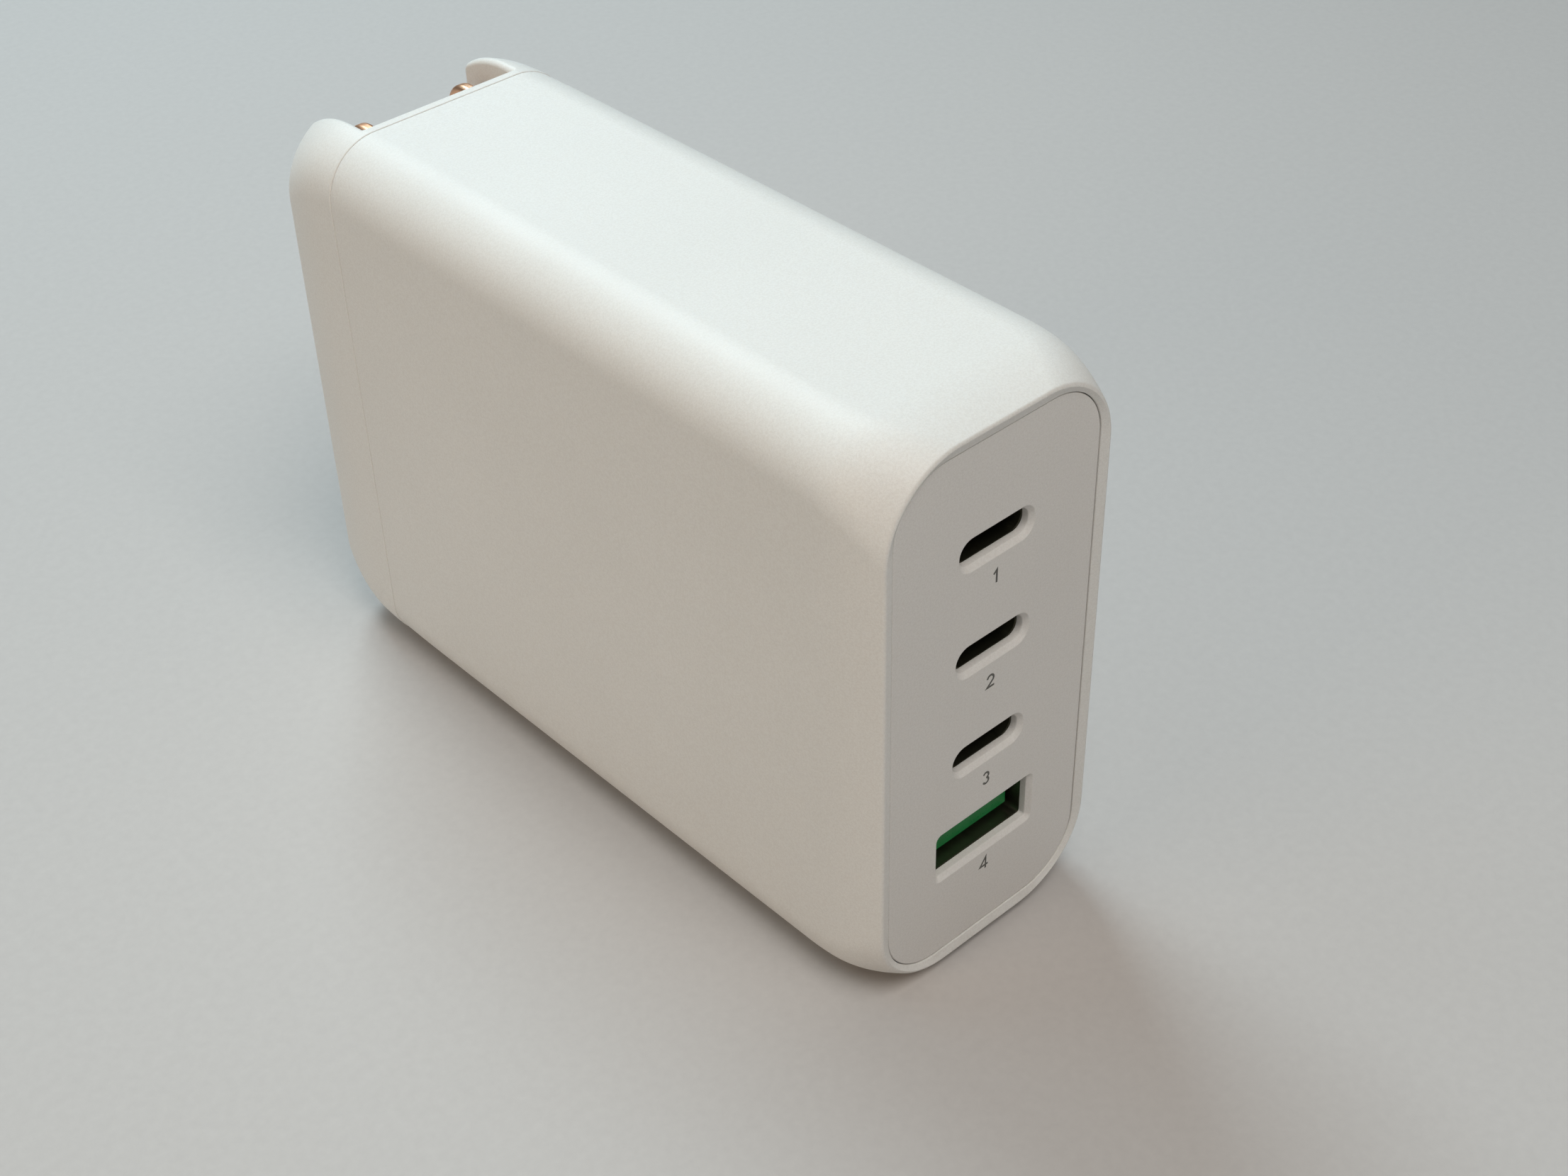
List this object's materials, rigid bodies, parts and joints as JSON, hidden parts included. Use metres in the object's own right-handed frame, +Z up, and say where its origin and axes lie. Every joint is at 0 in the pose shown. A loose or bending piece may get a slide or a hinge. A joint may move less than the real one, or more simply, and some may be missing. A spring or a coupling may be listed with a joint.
{
  "type": "travel charger",
  "caption": "Upright white mains travel charger with a recessed panel of charging sockets at one end and folding plug blades in a channel at the other.",
  "frame": {"origin": "middle of the underside, on the surface it stands on, with the charger standing on its narrow side", "axes": "+Z up, +Y from the socket panel towards the plug end, +X to the right as seen facing the socket panel"},
  "size_m": [0.0302, 0.0872, 0.063],
  "materials": {
    "casing": "matte",
    "panel": "matte",
    "carrier": "satin",
    "blade": "polished",
    "spring": "satin",
    "spring_steel": "satin",
    "board": "satin",
    "socket_steel": "satin",
    "black_plastic": "satin",
    "green_plastic": "satin",
    "gold": "polished",
    "ferrite": "satin",
    "copper": "satin",
    "winding_tape": "satin",
    "can_sleeve": "satin",
    "can_bare": "satin",
    "yellow_film": "satin",
    "blue_coat": "satin",
    "glass_tube": "satin",
    "chip": "matte",
    "white_chip": "matte",
    "inductor": "matte",
    "spreader": "satin",
    "pad": "matte",
    "film": "satin",
    "lead_live": "satin",
    "lead_neutral": "satin"
  },
  "bodies": {
    "charger": {"housing_sleeve": "casing", "port_fascia": "panel", "rear_cap": "casing", "contact_spring_left": "spring", "contact_spring_right": "spring", "detent_spring": "spring_steel", "main_board": "board", "port_board": "board", "usb_c_shell_1": "socket_steel", "usb_c_shell_2": "socket_steel", "usb_c_shell_3": "socket_steel", "usb_c_tongue_1": "black_plastic", "usb_c_tongue_2": "black_plastic", "usb_c_tongue_3": "black_plastic", "usb_c_contacts_1": "gold", "usb_c_contacts_2": "gold", "usb_c_contacts_3": "gold", "usb_a_shell": "socket_steel", "usb_a_tongue": "green_plastic", "usb_a_contacts": "gold", "transformer_core": "ferrite", "transformer_bobbin": "black_plastic", "transformer_winding": "winding_tape", "choke_core": "ferrite", "choke_winding": "copper", "bulk_capacitor_1": "can_sleeve", "bulk_capacitor_2": "can_sleeve", "bulk_capacitor_3": "can_sleeve", "x_capacitor": "yellow_film", "y_capacitor": "blue_coat", "output_capacitor_1": "can_bare", "output_capacitor_2": "can_bare", "output_capacitor_3": "can_bare", "fuse": "glass_tube", "bridge_rectifier": "chip", "switch_chip": "chip", "sync_rectifier_chip": "chip", "controller_chip": "chip", "opto_coupler": "white_chip", "output_inductor_1": "inductor", "output_inductor_2": "inductor", "output_inductor_3": "inductor", "heat_spreader": "spreader", "thermal_pad": "pad", "insulating_film": "film", "ac_lead_live": "lead_live", "ac_lead_neutral": "lead_neutral"},
    "plug": {"plug_carrier": "carrier", "blade_left": "blade", "blade_right": "blade"}
  },
  "joints": [
    {"name": "plug_fold", "type": "hinge", "parent": "charger", "child": "plug", "pos_m": [0, 0.03878, 0.0376], "axis": [-1, 0, 0], "range_deg": [0, 90]}
  ]
}
